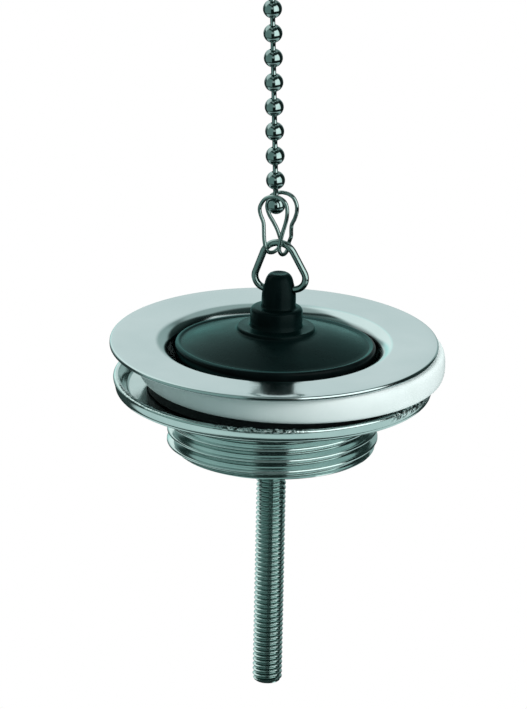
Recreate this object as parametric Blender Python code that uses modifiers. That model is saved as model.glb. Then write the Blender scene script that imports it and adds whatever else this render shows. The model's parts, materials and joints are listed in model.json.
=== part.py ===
"""Basin waste with a rubber plug on a bead chain, one object for each separate piece.

A pressed flange with a strainer bottom sits in the basin's outlet. One long screw through
the strainer draws the threaded tail piece up under the basin, with a sealing washer and a
gasket in its cup. The plug closes the flange, and its wire ring carries a clasp, a bead
chain, a second clasp and the ring that hooks to the basin.

Lengths are metres and +Z is up. The origin is on the waste's axis, in the plane of the
flange's upper face.
"""

import math

import bmesh
import bpy
from mathutils import Matrix, Vector

# Fits
RUNNING_GAP = 0.0003
CUT_OVERRUN = 0.002
WELD_DISTANCE = 0.00001

# Top flange, one pressing
FLANGE_RADIUS = 0.03275
FLANGE_SHEET = 0.0009
FLANGE_EDGE_RADIUS = 0.0004
LIP_ROLL_RADIUS = 0.0032
LIP_OUT_FROM_COLLAR = 0.006225
SEAT_TAPER = math.radians(19)
DISH_DEPTH = 0.0120
DISH_FILLET = 0.0022
STRAINER_HOLES = 6
STRAINER_HOLE_RADIUS = 0.0033
SCREW_HOLE_CLEARANCE = 0.0004

# Clamp screw, M6 with a slotted pan head
SCREW_RADIUS = 0.0030
SCREW_LENGTH = 0.0600
SCREW_END_ROUND = 0.0012
SCREW_HEAD_RADIUS = 0.0055
SCREW_HEAD_HEIGHT = 0.0028
SCREW_HEAD_CORNER = 0.0012
SCREW_SLOT_WIDTH = 0.0014
SCREW_SLOT_DEPTH = 0.0013

# Sealing washer, lying off centre as far as its wide bore lets it
WASHER_WIDTH = 0.004775
WASHER_THICKNESS = 0.0054
WASHER_SIDE_BULGE = 0.0010
WASHER_SIDE_SHARES = (0.95, 0.8, 0.5, 0, -0.5, -0.8, -0.95)
WASHER_CHAMFER = 0.0009
WASHER_SHIFT = 0.0035
NECK_CLEARANCE = 0.0005

# Gasket under the washer
GASKET_WIDTH = 0.003375
GASKET_THICKNESS = 0.0024
GASKET_SHIFT = 0.0016
GASKET_CUP_CLEARANCE = 0.0008

# Tail piece, a cup over a G 1 1/4 collar
CUP_RIM_WIDTH = 0.0013
CUP_RIM_ROUND = 0.0005
CUP_RISE = 0.0023
CUP_WALL_RUN = 0.0014
CUP_SIDE_HEIGHT = 0.0028
CUP_SIDE_ROUND = 0.0008
CUP_MOUTH_MARGIN = 0.0006
HUB_THICKNESS = 0.0026
THREAD_RADIUS = 0.020955
THREAD_PITCH = 0.002309
THREAD_DEPTH = 0.00148
THREAD_TURNS = 4
THREAD_CREST_SHARE = 0.26
COLLAR_RELIEF = 0.0004
COLLAR_WALL = 0.0017
COLLAR_CHAMFER = 0.0003
BRIDGE_SPOKES = 3
BRIDGE_SPOKE_WIDTH = 0.0032
BRIDGE_SPOKE_HEIGHT = 0.0050
BRIDGE_BOSS_RADIUS = 0.0055
BRIDGE_BOSS_HEIGHT = 0.0062
BRIDGE_DROP = 0.0017
BRIDGE_TURN = math.radians(20)
BOSS_BORE_CLEARANCE = 0.0003

# Plug, one rubber moulding, lying a little askew in its seat
PLUG_RIM_CLEARANCE = 0.0008
PLUG_SEAT_CLEARANCE = 0.0008
PLUG_SKIRT_DEPTH = 0.0086
PLUG_WALL = 0.0019
PLUG_CROWN_RISE = 0.0031
PLUG_RIM_WIDTH = 0.0010
PLUG_RIM_HEIGHT = 0.0003
PLUG_RIM_DROP = 0.0006
PLUG_STEP_RADIUS = 0.0078
PLUG_STEP_HEIGHT = 0.0008
PLUG_COLLAR_RADIUS = 0.0052
PLUG_COLLAR_HEIGHT = 0.0031
PLUG_COLLAR_ROUND = 0.0009
KNOB_RADIUS = 0.00344
KNOB_TOP_RADIUS = 0.00283
KNOB_HEIGHT = 0.0070
KNOB_TAPER_SHARE = 0.45
KNOB_DOME_HEIGHT = 0.0016
KNOB_CAP_RADIUS = 0.0017
KNOB_DIMPLE_DEPTH = 0.0002
KNOB_SHIFT = 0.00035
KNOB_HOLE_DROP = 0.00336
KNOB_HOLE_CLEARANCE = 0.0004
PLUG_SHIFT = 0.00026
PLUG_SINK = 0.00047
PLUG_TIP = math.radians(-2.36)
PLUG_TILT = math.radians(0.66)

# Wire ring through the plug's knob, a rounded triangle
RING_WIRE_RADIUS = 0.0007
RING_HALF_WIDTH = 0.00527
RING_HEIGHT = 0.00979
RING_CORNER_RADIUS = 0.00254
RING_APEX_RADIUS = 0.00344
RING_FOOT_GAP = 0.0004
RING_SLIDE = 0.00043
RING_YAW = math.radians(-17)
RING_LEAN = math.radians(-5.1)

# Clasp, one closed wire folded over the ring into two unlike loops that cage a bead. Each
# loop runs from its left foot over its top to its right foot, as shares of width and height.
CLASP_WIRE_RADIUS = 0.0004
CLASP_HALF_WIDTH = 0.0032
CLASP_HEIGHT = 0.0105
CLASP_LOOP_SPREAD = 0.00145
CLASP_HOOK_CLEARANCE = 0.00075
CLASP_HOOK_SPLAY = 0.00025
CLASP_HOOK_OFFSET = 0.0015
CLASP_BEAD_HEIGHT = 0.0083
CLASP_BEAD_SIDE = -0.0002
CLASP_FRONT_SHARES = (
    (-0.52, 0.00),
    (-0.60, 0.13),
    (-0.63, 0.31),
    (-0.67, 0.46),
    (-0.88, 0.61),
    (-0.93, 0.74),
    (-0.68, 0.885),
    (-0.33, 0.965),
    (0.22, 1.00),
    (0.70, 0.965),
    (0.95, 0.885),
    (1.04, 0.76),
    (1.00, 0.61),
    (0.89, 0.48),
    (0.71, 0.31),
    (0.57, 0.14),
    (0.48, 0.00),
)
CLASP_BACK_SHARES = (
    (-0.18, 0.00),
    (-0.27, 0.12),
    (-0.41, 0.24),
    (-0.62, 0.36),
    (-0.91, 0.51),
    (-1.02, 0.66),
    (-0.88, 0.80),
    (-0.55, 0.925),
    (-0.05, 0.99),
    (0.35, 1.00),
    (0.68, 0.98),
    (0.95, 0.925),
    (1.13, 0.80),
    (1.12, 0.66),
    (0.95, 0.51),
    (0.70, 0.37),
    (0.63, 0.25),
    (0.59, 0.12),
    (0.42, 0.00),
)
CLASP_YAW = math.radians(-30)
CLASP_LEAN = math.radians(-2.5)

# Bead chain, pulled straight
BEAD_COUNT = 11
BEAD_RADIUS = 0.0019
BEAD_WALL = 0.00025
BEAD_HOLE_RADIUS = 0.00066
BEAD_PITCH = 0.00513
LINK_RADIUS = 0.00052
LINK_HEAD_RADIUS = 0.00073
LINK_HEAD_SETBACK = 0.00076
CHAIN_LEAN = math.radians(-2.1)

# Ring at the chain's far end
END_RING_RADIUS = 0.0065
END_RING_WIRE_RADIUS = 0.0007

# Facets
ROUND_STEPS = 40
BORE_STEPS = 20
BEAD_STEPS = 12
LINK_STEPS = 8
WIRE_RESOLUTION = 2
SMOOTH_ANGLE = math.radians(35)

# Heights that several pieces share, all below the flange's upper face
WASHER_TOP = -FLANGE_SHEET - RUNNING_GAP
WASHER_BOTTOM = WASHER_TOP - WASHER_THICKNESS
GASKET_TOP = WASHER_BOTTOM - RUNNING_GAP
GASKET_BOTTOM = GASKET_TOP - GASKET_THICKNESS
CUP_FLOOR = GASKET_BOTTOM - RUNNING_GAP
CUP_RIM = CUP_FLOOR + CUP_RISE
HUB_BOTTOM = CUP_FLOOR - HUB_THICKNESS
THREAD_TOP = HUB_BOTTOM - COLLAR_RELIEF
TAIL_END = THREAD_TOP - THREAD_TURNS * THREAD_PITCH
STRAINER_BOTTOM = -DISH_DEPTH - FLANGE_SHEET
BOSS_TOP = STRAINER_BOTTOM - BRIDGE_DROP
SCREW_SEAT = -DISH_DEPTH + RUNNING_GAP

# Radii that several pieces share, outwards from the collar's thread
COLLAR_BORE_RADIUS = THREAD_RADIUS - THREAD_DEPTH - COLLAR_WALL
LIP_CENTRE_RADIUS = COLLAR_BORE_RADIUS + LIP_OUT_FROM_COLLAR
NECK_RADIUS = LIP_CENTRE_RADIUS - (LIP_ROLL_RADIUS - FLANGE_SHEET) * math.cos(SEAT_TAPER)
PLUG_RADIUS = LIP_CENTRE_RADIUS - LIP_ROLL_RADIUS - PLUG_RIM_CLEARANCE
WASHER_BORE_RADIUS = NECK_RADIUS + WASHER_SHIFT + NECK_CLEARANCE
WASHER_RADIUS = WASHER_BORE_RADIUS + WASHER_WIDTH
GASKET_BORE_RADIUS = NECK_RADIUS + GASKET_SHIFT
GASKET_RADIUS = GASKET_BORE_RADIUS + GASKET_WIDTH
CUP_FLOOR_RADIUS = GASKET_RADIUS + GASKET_SHIFT + GASKET_CUP_CLEARANCE
CUP_RIM_RADIUS = CUP_FLOOR_RADIUS + CUP_WALL_RUN + CUP_RIM_WIDTH


def arc(centre, radius, start, end, steps):
    """Points on a circle in the (radius, height) plane, angles in degrees from +X."""
    points = []
    for i in range(steps + 1):
        angle = math.radians(start + (end - start) * i / steps)
        points.append((centre[0] + radius * math.cos(angle), centre[1] + radius * math.sin(angle)))
    return points


def smooth_through(points, samples):
    """A Catmull-Rom curve through points, whose first and last only steer its ends."""
    path = []
    for before, start, end, after in zip(points, points[1:], points[2:], points[3:]):
        for i in range(samples):
            t = i / samples
            path.append(
                0.5
                * (
                    2 * start
                    + (end - before) * t
                    + (2 * before - 5 * start + 4 * end - after) * t**2
                    + (3 * start - before - 3 * end + after) * t**3
                )
            )
    path.append(points[-2])
    return path


def clear_scene():
    for obj in list(bpy.data.objects):
        bpy.data.objects.remove(obj)


def collection(name):
    made = bpy.data.collections.new(name)
    bpy.context.scene.collection.children.link(made)
    return made


def material(name, colour, roughness, metallic=0.0):
    made = bpy.data.materials.new(name)
    made.use_nodes = True
    shader = made.node_tree.nodes["Principled BSDF"]
    shader.inputs["Base Color"].default_value = (*colour, 1.0)
    shader.inputs["Roughness"].default_value = roughness
    shader.inputs["Metallic"].default_value = metallic
    return made


def add(name, data, group, finish=None):
    obj = bpy.data.objects.new(name, data)
    group.objects.link(obj)
    if finish is not None:
        data.materials.append(finish)
    return obj


def turned_object(name, outline, steps, group, closed=True, finish=None):
    """An outline in the XZ plane, down its outer side, turned about Z by a Screw."""
    mesh = bpy.data.meshes.new(name)
    edges = [(i, i + 1) for i in range(len(outline) - 1)]
    if closed:
        edges.append((len(outline) - 1, 0))
    mesh.from_pydata([(r, 0, z) for r, z in outline], edges, [])
    obj = add(name, mesh, group, finish)
    screw = obj.modifiers.new("Turn", "SCREW")
    screw.steps = screw.render_steps = steps
    screw.use_merge_vertices = True
    screw.merge_threshold = WELD_DISTANCE
    return obj


def cylinder(name, radius, low, high, steps, group):
    """A cylinder about Z between two heights."""
    outline = [(0, high), (radius, high), (radius, low), (0, low)]
    return turned_object(name, outline, steps, group, False)


def box(name, size, group):
    mesh = bpy.data.meshes.new(name)
    shape = bmesh.new()
    bmesh.ops.create_cube(shape, size=1, matrix=Matrix.Diagonal((*size, 1)))
    shape.to_mesh(mesh)
    shape.free()
    return add(name, mesh, group)


def as_cutter(obj):
    obj.hide_render = True
    obj.display_type = "WIRE"
    return obj


def combine(obj, other, operation):
    as_cutter(other)
    step = obj.modifiers.new(other.name, "BOOLEAN")
    step.operation = operation
    step.object = other
    step.solver = "EXACT"


def settle(obj):
    """The object's evaluated shape becomes its mesh, smooth with sharp edges kept."""
    view = bpy.context.evaluated_depsgraph_get()
    mesh = bpy.data.meshes.new_from_object(obj.evaluated_get(view))
    obj.modifiers.clear()
    obj.data = mesh
    mesh.name = obj.name
    mesh.shade_smooth()
    mesh.set_sharp_from_angle(angle=SMOOTH_ANGLE)
    return obj


def wire_curve(name, points, radius, closed, finish):
    """A round wire through points, as a curve with a bevel."""
    curve = bpy.data.curves.new(name, "CURVE")
    curve.dimensions = "3D"
    curve.bevel_depth = radius
    curve.bevel_resolution = WIRE_RESOLUTION
    curve.use_fill_caps = not closed
    spline = curve.splines.new("POLY")
    spline.points.add(len(points) - 1)
    for slot, point in zip(spline.points, points):
        slot.co = (*point, 1)
    spline.use_cyclic_u = closed
    curve.materials.append(finish)
    return curve


def joint_empty(name, matrix, group, parent=None):
    """An empty on a joint's axis, placed in the world and then hung on its parent."""
    empty = bpy.data.objects.new(name, None)
    empty.empty_display_size = BEAD_RADIUS
    group.objects.link(empty)
    hang(empty, parent, matrix)
    return empty


def hang(obj, parent, matrix=None):
    """Parents an object that stays where it stands, or where matrix puts it."""
    if matrix is not None:
        obj.matrix_world = matrix
    bpy.context.view_layer.update()
    if parent is not None:
        obj.parent = parent
        obj.matrix_parent_inverse = parent.matrix_world.inverted()
        bpy.context.view_layer.update()


def place(x=0.0, y=0.0, z=0.0, lean=0.0, yaw=0.0):
    """A place in the world, turned by yaw about Z and then leant by lean about Y."""
    turn = Matrix.Rotation(lean, 4, "Y") @ Matrix.Rotation(yaw, 4, "Z")
    return Matrix.Translation((x, y, z)) @ turn


def seat_radius(height):
    """The flange seat's radius at a height on its taper."""
    top_radius = LIP_CENTRE_RADIUS - LIP_ROLL_RADIUS * math.cos(SEAT_TAPER)
    top_height = -LIP_ROLL_RADIUS + LIP_ROLL_RADIUS * math.sin(SEAT_TAPER)
    return top_radius - (top_height - height) * math.tan(SEAT_TAPER)


def dish_fillet_centre():
    """Where the round between the seat and the strainer floor has its centre."""
    height = -DISH_DEPTH + DISH_FILLET
    tangent = seat_radius(height - DISH_FILLET * math.sin(SEAT_TAPER))
    return tangent - DISH_FILLET * math.cos(SEAT_TAPER), height


def flange_outline():
    """The pressing's section: flat flange, rolled lip, tapered seat and strainer floor."""
    lip = (LIP_CENTRE_RADIUS, -LIP_ROLL_RADIUS)
    lip_end = 90 - math.degrees(SEAT_TAPER)
    fillet = dish_fillet_centre()
    hole = SCREW_RADIUS + SCREW_HOLE_CLEARANCE
    edge = (FLANGE_RADIUS - FLANGE_EDGE_RADIUS, -FLANGE_EDGE_RADIUS)
    outline = [(hole, -DISH_DEPTH)]
    outline += arc(fillet, DISH_FILLET, -90, -math.degrees(SEAT_TAPER), 4)
    outline += arc(lip, LIP_ROLL_RADIUS, 90 + lip_end, 90, 5)
    outline += arc(edge, FLANGE_EDGE_RADIUS, 90, 0, 2)
    outline += [(FLANGE_RADIUS, -FLANGE_SHEET)]
    outline += arc(lip, LIP_ROLL_RADIUS - FLANGE_SHEET, 90, 90 + lip_end, 5)
    outline += arc(fillet, DISH_FILLET + FLANGE_SHEET, -math.degrees(SEAT_TAPER), -90, 4)
    outline += [(hole, STRAINER_BOTTOM)]
    return outline


def make_flange(group, cutters, finish):
    flange = turned_object("top_flange", flange_outline(), ROUND_STEPS, group, True, finish)
    circle = (SCREW_HEAD_RADIUS + dish_fillet_centre()[0]) / 2
    for i in range(STRAINER_HOLES):
        angle = math.tau * i / STRAINER_HOLES
        hole = cylinder(
            f"strainer_hole_{i + 1}",
            STRAINER_HOLE_RADIUS,
            STRAINER_BOTTOM - CUT_OVERRUN,
            -DISH_DEPTH + CUT_OVERRUN,
            BORE_STEPS,
            cutters,
        )
        hole.location = (circle * math.cos(angle), circle * math.sin(angle), 0)
        combine(flange, hole, "DIFFERENCE")
    return settle(flange)


def make_screw(group, cutters, finish):
    head_top = SCREW_SEAT + SCREW_HEAD_HEIGHT
    end = SCREW_SEAT - SCREW_LENGTH
    corner = (SCREW_HEAD_RADIUS - SCREW_HEAD_CORNER, head_top - SCREW_HEAD_CORNER)
    outline = [(0, head_top)]
    outline += arc(corner, SCREW_HEAD_CORNER, 90, 0, 3)
    outline += [(SCREW_HEAD_RADIUS, SCREW_SEAT), (SCREW_RADIUS, SCREW_SEAT)]
    outline += arc(
        (SCREW_RADIUS - SCREW_END_ROUND, end + SCREW_END_ROUND), SCREW_END_ROUND, 0, -90, 3
    )
    outline += [(0, end)]
    screw = turned_object("clamp_screw", outline, BORE_STEPS, group, False, finish)
    slot = box(
        "screw_slot",
        (2 * (SCREW_HEAD_RADIUS + CUT_OVERRUN), SCREW_SLOT_WIDTH, 2 * SCREW_SLOT_DEPTH),
        cutters,
    )
    slot.location.z = head_top
    combine(screw, slot, "DIFFERENCE")
    return settle(screw)


def washer_outline():
    """A thick ring with a bulged outer side and a chamfered upper bore edge."""
    bore = WASHER_BORE_RADIUS
    middle = (WASHER_TOP + WASHER_BOTTOM) / 2
    side = WASHER_RADIUS - WASHER_SIDE_BULGE
    swell = [
        (WASHER_RADIUS - WASHER_SIDE_BULGE * share**4, middle + share * WASHER_THICKNESS / 2)
        for share in WASHER_SIDE_SHARES
    ]
    outline = [(side - WASHER_CHAMFER, WASHER_TOP)] + swell
    outline += [(side - WASHER_CHAMFER, WASHER_BOTTOM), (bore, WASHER_BOTTOM)]
    outline += [(bore, WASHER_TOP - WASHER_CHAMFER), (bore + WASHER_CHAMFER, WASHER_TOP)]
    return outline


def gasket_outline():
    return [
        (GASKET_RADIUS, GASKET_TOP),
        (GASKET_RADIUS, GASKET_BOTTOM),
        (GASKET_BORE_RADIUS, GASKET_BOTTOM),
        (GASKET_BORE_RADIUS, GASKET_TOP),
    ]


def make_washers(group, washer_finish, gasket_finish):
    washer = turned_object(
        "sealing_washer", washer_outline(), ROUND_STEPS, group, True, washer_finish
    )
    washer.location.x = WASHER_SHIFT
    gasket = turned_object(
        "cup_gasket", gasket_outline(), ROUND_STEPS, group, True, gasket_finish
    )
    gasket.location.x = GASKET_SHIFT
    return [settle(washer), settle(gasket)]


def thread_ridges():
    """The collar's crests, turned as rings at the thread's pitch."""
    root = THREAD_RADIUS - THREAD_DEPTH
    crest = THREAD_CREST_SHARE * THREAD_PITCH / 2
    ridges = []
    for i in range(THREAD_TURNS):
        middle = THREAD_TOP - (i + 0.5) * THREAD_PITCH
        ridges += [(root, middle + THREAD_PITCH / 2)]
        ridges += [(THREAD_RADIUS, middle + crest), (THREAD_RADIUS, middle - crest)]
    return ridges + [(root, TAIL_END)]


def tail_outline():
    """Cup, hub and threaded collar in one section."""
    rim_inner = CUP_RIM_RADIUS - CUP_RIM_WIDTH
    side_foot = CUP_RIM - CUP_SIDE_HEIGHT
    rim_round = (CUP_RIM_RADIUS - CUP_RIM_ROUND, CUP_RIM - CUP_RIM_ROUND)
    side_round = (CUP_RIM_RADIUS - CUP_SIDE_ROUND, side_foot + CUP_SIDE_ROUND)
    cup_mouth = NECK_RADIUS + CUP_MOUTH_MARGIN
    flare_foot = STRAINER_BOTTOM - COLLAR_RELIEF
    outline = [(rim_inner, CUP_RIM)]
    outline += arc(rim_round, CUP_RIM_ROUND, 90, 0, 2)
    outline += arc(side_round, CUP_SIDE_ROUND, 0, -70, 3)
    outline += [(THREAD_RADIUS + CUP_SIDE_ROUND, HUB_BOTTOM)]
    outline += [(THREAD_RADIUS - THREAD_DEPTH, HUB_BOTTOM)]
    outline += thread_ridges()
    outline += [(COLLAR_BORE_RADIUS + COLLAR_CHAMFER, TAIL_END)]
    outline += [(COLLAR_BORE_RADIUS, TAIL_END + COLLAR_CHAMFER), (COLLAR_BORE_RADIUS, flare_foot)]
    outline += [(cup_mouth, CUP_FLOOR), (CUP_FLOOR_RADIUS - CUP_SIDE_ROUND, CUP_FLOOR)]
    outline += [(CUP_FLOOR_RADIUS, CUP_FLOOR + CUP_RIM_ROUND)]
    return outline


def make_tail(group, cutters, finish):
    tail = turned_object("tail_piece", tail_outline(), ROUND_STEPS, group, True, finish)
    boss_foot = BOSS_TOP - BRIDGE_BOSS_HEIGHT
    boss = cylinder(
        "bridge_boss", BRIDGE_BOSS_RADIUS, boss_foot, BOSS_TOP, BORE_STEPS, cutters
    )
    reach = COLLAR_BORE_RADIUS + COLLAR_WALL / 2
    for i in range(BRIDGE_SPOKES):
        size = (reach, BRIDGE_SPOKE_WIDTH, BRIDGE_SPOKE_HEIGHT)
        spoke = box(f"bridge_spoke_{i + 1}", size, cutters)
        angle = BRIDGE_TURN + math.tau * i / BRIDGE_SPOKES
        spoke.location = (
            reach / 2 * math.cos(angle),
            reach / 2 * math.sin(angle),
            (BOSS_TOP + boss_foot) / 2,
        )
        spoke.rotation_euler.z = angle
        combine(tail, spoke, "UNION")
    combine(tail, boss, "UNION")
    bore = cylinder(
        "boss_bore",
        SCREW_RADIUS + BOSS_BORE_CLEARANCE,
        boss_foot - CUT_OVERRUN,
        BOSS_TOP + CUT_OVERRUN,
        BORE_STEPS,
        cutters,
    )
    combine(tail, bore, "DIFFERENCE")
    return settle(tail)


def plug_heights():
    """Heights of the plug's step, collar, knob foot, knob top and ring hole."""
    step = PLUG_CROWN_RISE + PLUG_STEP_HEIGHT
    collar = step + PLUG_COLLAR_HEIGHT
    knob_foot = collar + PLUG_COLLAR_ROUND
    knob_top = knob_foot + KNOB_HEIGHT
    return step, collar, knob_foot, knob_top, knob_top - KNOB_HOLE_DROP


def knob_outline():
    """The knob, from its dimpled top down to a foot inside the plug's collar."""
    _, collar, knob_foot, knob_top, _ = plug_heights()
    taper_height = knob_foot + KNOB_TAPER_SHARE * KNOB_HEIGHT
    dimple = knob_top - KNOB_DIMPLE_DEPTH
    outline = [(0, dimple), (KNOB_CAP_RADIUS / 2, dimple), (KNOB_CAP_RADIUS, knob_top)]
    outline += [(KNOB_TOP_RADIUS - KNOB_DOME_HEIGHT / 4, knob_top - KNOB_DOME_HEIGHT / 3)]
    outline += [(KNOB_TOP_RADIUS, knob_top - KNOB_DOME_HEIGHT), (KNOB_RADIUS, taper_height)]
    return outline + [(KNOB_RADIUS, collar), (0, collar)]


def plug_outline():
    """Collar, step, crowned disc, bead at the rim, tapered skirt and hollow underside."""
    step, collar, knob_foot, _, _ = plug_heights()
    foot_radius = seat_radius(-PLUG_SKIRT_DEPTH) - PLUG_SEAT_CLEARANCE
    rim_inner = PLUG_RADIUS - PLUG_RIM_WIDTH
    outline = [(0, knob_foot)]
    outline += arc(
        (PLUG_COLLAR_RADIUS - PLUG_COLLAR_ROUND, collar), PLUG_COLLAR_ROUND, 90, 0, 3
    )
    outline += [(PLUG_COLLAR_RADIUS, step), (PLUG_STEP_RADIUS, step)]
    outline += [(PLUG_STEP_RADIUS, PLUG_CROWN_RISE), (rim_inner, 0)]
    outline += [(rim_inner + PLUG_RIM_WIDTH / 3, PLUG_RIM_HEIGHT)]
    outline += [(PLUG_RADIUS - PLUG_RIM_WIDTH / 4, PLUG_RIM_HEIGHT / 2)]
    outline += [(PLUG_RADIUS, -PLUG_RIM_DROP), (foot_radius, -PLUG_SKIRT_DEPTH)]
    outline += [(foot_radius - PLUG_WALL, -PLUG_SKIRT_DEPTH)]
    outline += [(rim_inner - PLUG_WALL, -PLUG_WALL - PLUG_RIM_DROP)]
    outline += [(PLUG_STEP_RADIUS, PLUG_CROWN_RISE - PLUG_WALL)]
    outline += [(0, PLUG_CROWN_RISE - PLUG_WALL)]
    return outline


def plug_place():
    """Where the plug lies in its seat, tipped about X and tilted about Y."""
    turn = Matrix.Rotation(PLUG_TIP, 4, "X") @ Matrix.Rotation(PLUG_TILT, 4, "Y")
    return Matrix.Translation((PLUG_SHIFT, 0, -PLUG_SINK)) @ turn


def knob_hole_place():
    """The middle of the knob's hole, with X along the ring's wire in it."""
    hole = plug_place() @ Vector((KNOB_SHIFT, 0, plug_heights()[4]))
    return place(hole.x, hole.y, hole.z, RING_LEAN, RING_YAW)


def make_plug(group, cutters, finish):
    plug = turned_object("plug", plug_outline(), ROUND_STEPS, group, False, finish)
    knob = turned_object("knob", knob_outline(), ROUND_STEPS, cutters, False)
    reach = KNOB_RADIUS + CUT_OVERRUN
    hole = cylinder(
        "knob_hole", RING_WIRE_RADIUS + KNOB_HOLE_CLEARANCE, -reach, reach, BEAD_STEPS, cutters
    )
    plug.matrix_world = plug_place()
    knob.matrix_world = plug_place() @ Matrix.Translation((KNOB_SHIFT, 0, 0))
    hole.matrix_world = knob_hole_place() @ Matrix.Rotation(math.pi / 2, 4, "Y")
    combine(plug, knob, "UNION")
    combine(plug, hole, "DIFFERENCE")
    return settle(plug)


def ring_tangent():
    """The side's angle and the two corner centres of the triangular ring."""
    corner = Vector((RING_HALF_WIDTH - RING_CORNER_RADIUS, RING_CORNER_RADIUS))
    apex = Vector((0, RING_HEIGHT - RING_APEX_RADIUS))
    run = apex - corner
    lean = math.degrees(math.atan2(run.y, run.x))
    off = math.degrees(math.acos((RING_CORNER_RADIUS - RING_APEX_RADIUS) / run.length))
    return corner, apex, lean - off


def ring_path():
    """One side of the ring from its foot in the knob to the apex, mirrored to the other foot."""
    corner, apex, side = ring_tangent()
    half = [(RING_FOOT_GAP / 2, 0)]
    half += arc(corner, RING_CORNER_RADIUS, -90, side, 5)
    half += arc(apex, RING_APEX_RADIUS, side, 90, 4)
    path = [Vector((x, 0, z)) for x, z in half]
    return path + [Vector((-p.x, 0, p.z)) for p in reversed(path[:-1])]


def hook_height():
    """Height of the ring's wire above its feet where the clasp hooks round it."""
    drop = math.sqrt(RING_APEX_RADIUS**2 - CLASP_HOOK_OFFSET**2)
    return RING_HEIGHT - RING_APEX_RADIUS + drop


def clasp_hook():
    """The hook's depth under the ring's wire, to the clasp wire's centre."""
    return RING_WIRE_RADIUS + CLASP_WIRE_RADIUS + CLASP_HOOK_CLEARANCE


def clasp_loop(shares, side):
    """One loop's points from its left foot to its right, nearer the bead towards the top."""
    splay = clasp_hook() + CLASP_HOOK_SPLAY
    return [
        Vector(
            (
                across * CLASP_HALF_WIDTH,
                side * (splay + (CLASP_LOOP_SPREAD - splay) * up),
                up * CLASP_HEIGHT,
            )
        )
        for across, up in shares
    ]


def clasp_turn(start, end):
    """A hook's points between two feet, round under the ring's wire."""
    points = []
    for i in range(1, 6):
        angle = math.pi * i / 6
        point = start.lerp(end, (1 - math.cos(angle)) / 2)
        points.append(point + Vector((0, 0, -clasp_hook() * math.sin(angle))))
    return points


def clasp_path():
    """Front loop, hook under the ring, back loop, hook under the ring, closed."""
    front = clasp_loop(CLASP_FRONT_SHARES, -1)
    back = clasp_loop(CLASP_BACK_SHARES, 1)
    path = front + clasp_turn(front[-1], back[-1])
    path += back[::-1] + clasp_turn(back[0], front[0])
    return smooth_through([path[-1], *path, *path[:2]], 2)[:-1]


def bead_outline():
    """A hollow ball open at both poles, down its outside and up its inside."""
    outer_open = math.degrees(math.acos(BEAD_HOLE_RADIUS / BEAD_RADIUS))
    inner_open = math.degrees(math.acos(BEAD_HOLE_RADIUS / (BEAD_RADIUS - BEAD_WALL)))
    outline = arc((0, 0), BEAD_RADIUS, outer_open, -outer_open, 8)
    return outline + arc((0, 0), BEAD_RADIUS - BEAD_WALL, -inner_open, inner_open, 5)


def link_outline():
    """A rod with a round head at each end, its lower bead's centre at the origin."""
    neck = math.degrees(math.acos(LINK_RADIUS / LINK_HEAD_RADIUS))
    low, high = LINK_HEAD_SETBACK, BEAD_PITCH - LINK_HEAD_SETBACK
    outline = arc((0, high), LINK_HEAD_RADIUS, 90, -neck, 4)
    outline += arc((0, low), LINK_HEAD_RADIUS, neck, -90, 4)
    outline[0] = (0, high + LINK_HEAD_RADIUS)
    outline[-1] = (0, low - LINK_HEAD_RADIUS)
    return outline


def bead_pivot_height():
    """The middle of a bead's lower hole, below the bead's centre."""
    wall_middle = BEAD_RADIUS - BEAD_WALL / 2
    return -math.sqrt(wall_middle**2 - BEAD_HOLE_RADIUS**2)


def make_chain(group, finish, foot, foot_joint):
    """Beads and links from the caged bead upwards, each pair hung on the joint below it."""
    bead = settle(turned_object("bead_01", bead_outline(), BEAD_STEPS, group, True, finish))
    link = settle(turned_object("link_01", link_outline(), LINK_STEPS, group, False, finish))
    joint = joint_empty("bead_01_joint", foot, group, foot_joint)
    hang(bead, joint, foot)
    hang(link, joint, foot)
    for i in range(1, BEAD_COUNT):
        here = foot @ Matrix.Translation((0, 0, i * BEAD_PITCH))
        pivot = here @ Matrix.Translation((0, 0, bead_pivot_height()))
        joint = joint_empty(f"bead_{i + 1:02d}_joint", pivot, group, joint)
        hang(add(f"bead_{i + 1:02d}", bead.data, group), joint, here)
        if i < BEAD_COUNT - 1:
            hang(add(f"link_{i + 1:02d}", link.data, group), joint, here)
    return joint


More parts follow.
